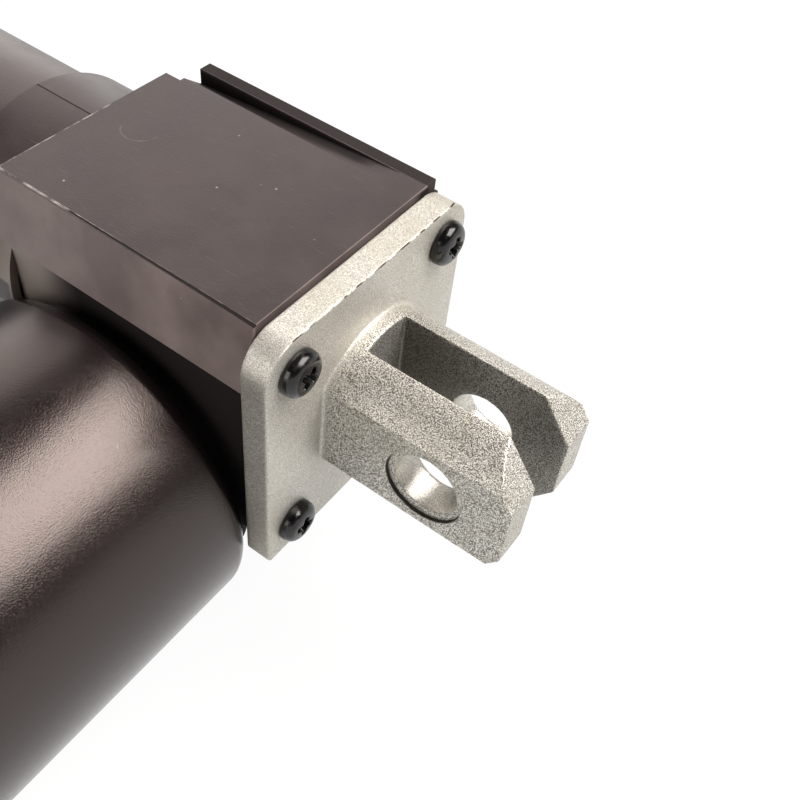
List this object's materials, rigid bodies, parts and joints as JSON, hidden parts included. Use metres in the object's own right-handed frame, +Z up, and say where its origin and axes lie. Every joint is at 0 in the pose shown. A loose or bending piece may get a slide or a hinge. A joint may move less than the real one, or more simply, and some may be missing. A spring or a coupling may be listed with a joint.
{
  "type": "electric linear actuator",
  "caption": "Right-angle electric linear actuator with a cast rear clevis, black worm-gear housing, cylindrical motor and a tube from which a clevis-ended rod extends.",
  "frame": {"origin": "middle of the rear clevis pin hole", "axes": "+X along the spindle towards the rod end, +Y along the motor axis away from the gear housing, +Z up"},
  "size_m": [0.3065, 0.1492, 0.0721],
  "materials": {
    "cast_clevis": "blasted casting",
    "black_steel": "gloss black oxide",
    "gasket_rubber": "matt",
    "housing_plastic": "satin moulded",
    "motor_paint": "satin black",
    "tube_paint": "satin black",
    "rod_chrome": "polished",
    "ground_steel": "ground",
    "bronze": "machined",
    "pale_polymer": "turned",
    "magnet_ferrite": "sintered",
    "carbon": "pressed",
    "board_plastic": "laminate",
    "switch_plastic": "moulded",
    "plunger_plastic": "moulded"
  },
  "bodies": {
    "housing": {"rear_clevis": "cast_clevis", "rear_clevis_screws": "black_steel", "rear_gasket": "gasket_rubber", "far_side_housing": "housing_plastic", "motor_side_housing": "housing_plastic", "housing_screws": "black_steel", "motor_gasket": "gasket_rubber", "motor_can": "motor_paint", "motor_end_cap": "motor_paint", "cable_grommet": "gasket_rubber", "motor_bolts": "black_steel", "motor_magnets": "magnet_ferrite", "motor_front_bush": "bronze", "motor_rear_bush": "bronze", "worm_end_bush": "bronze", "brush_holder": "board_plastic", "carbon_brushes": "carbon", "brush_springs": "ground_steel", "rear_bearing_outer_ring": "ground_steel", "front_bearing_outer_ring": "ground_steel", "outer_tube": "tube_paint", "bearing_retainer": "ground_steel", "guide_bush": "pale_polymer", "wiper_seal": "gasket_rubber", "front_cap": "housing_plastic", "cap_screws": "black_steel", "switch_carrier": "board_plastic", "rear_limit_switch": "switch_plastic", "front_limit_switch": "switch_plastic"},
    "rotor": {"motor_shaft": "ground_steel", "worm": "ground_steel", "armature_core": "ground_steel", "armature_windings": "bronze", "commutator": "bronze"},
    "spindle": {"lead_screw": "ground_steel", "worm_wheel": "bronze", "wheel_key": "ground_steel", "spacer_sleeve": "ground_steel", "spindle_lock_nut": "ground_steel", "rear_bearing_inner_ring": "ground_steel", "rear_bearing_balls": "ground_steel", "front_bearing_inner_ring": "ground_steel", "front_bearing_balls": "ground_steel"},
    "rod": {"drive_nut": "pale_polymer", "nut_pins": "ground_steel", "rod_tube": "rod_chrome", "rod_end": "cast_clevis", "rod_end_pin": "ground_steel"},
    "rear_plunger": {"rear_switch_plunger": "plunger_plastic"},
    "front_plunger": {"front_switch_plunger": "plunger_plastic"}
  },
  "joints": [
    {"name": "rotor_spin", "type": "hinge", "parent": "housing", "child": "rotor", "pos_m": [0.0504, 0, -0.0204], "axis": [0, 1, 0], "range_deg": [0, 180000]},
    {"name": "spindle_spin", "type": "hinge", "parent": "housing", "child": "spindle", "pos_m": [0.0504, 0, 0], "axis": [1, 0, 0], "range_deg": [-9000, 0]},
    {"name": "rod_slide", "type": "slide", "parent": "housing", "child": "rod", "axis": [1, 0, 0], "range_m": [0, 0.1]},
    {"name": "rear_switch_press", "type": "slide", "parent": "housing", "child": "rear_plunger", "axis": [0, 0, -1], "range_m": [0, 0.0004], "stiffness_N_per_m": 500, "springref_m": -0.0003},
    {"name": "front_switch_press", "type": "slide", "parent": "housing", "child": "front_plunger", "axis": [0, 0, -1], "range_m": [0, 0.0004], "stiffness_N_per_m": 500, "springref_m": -0.0003}
  ],
  "couplings": [
    {"joint": "spindle_spin", "follows": "rotor_spin", "ratio": -0.05},
    {"joint": "rod_slide", "follows": "rotor_spin", "m_per_rad": 0.000031831}
  ]
}
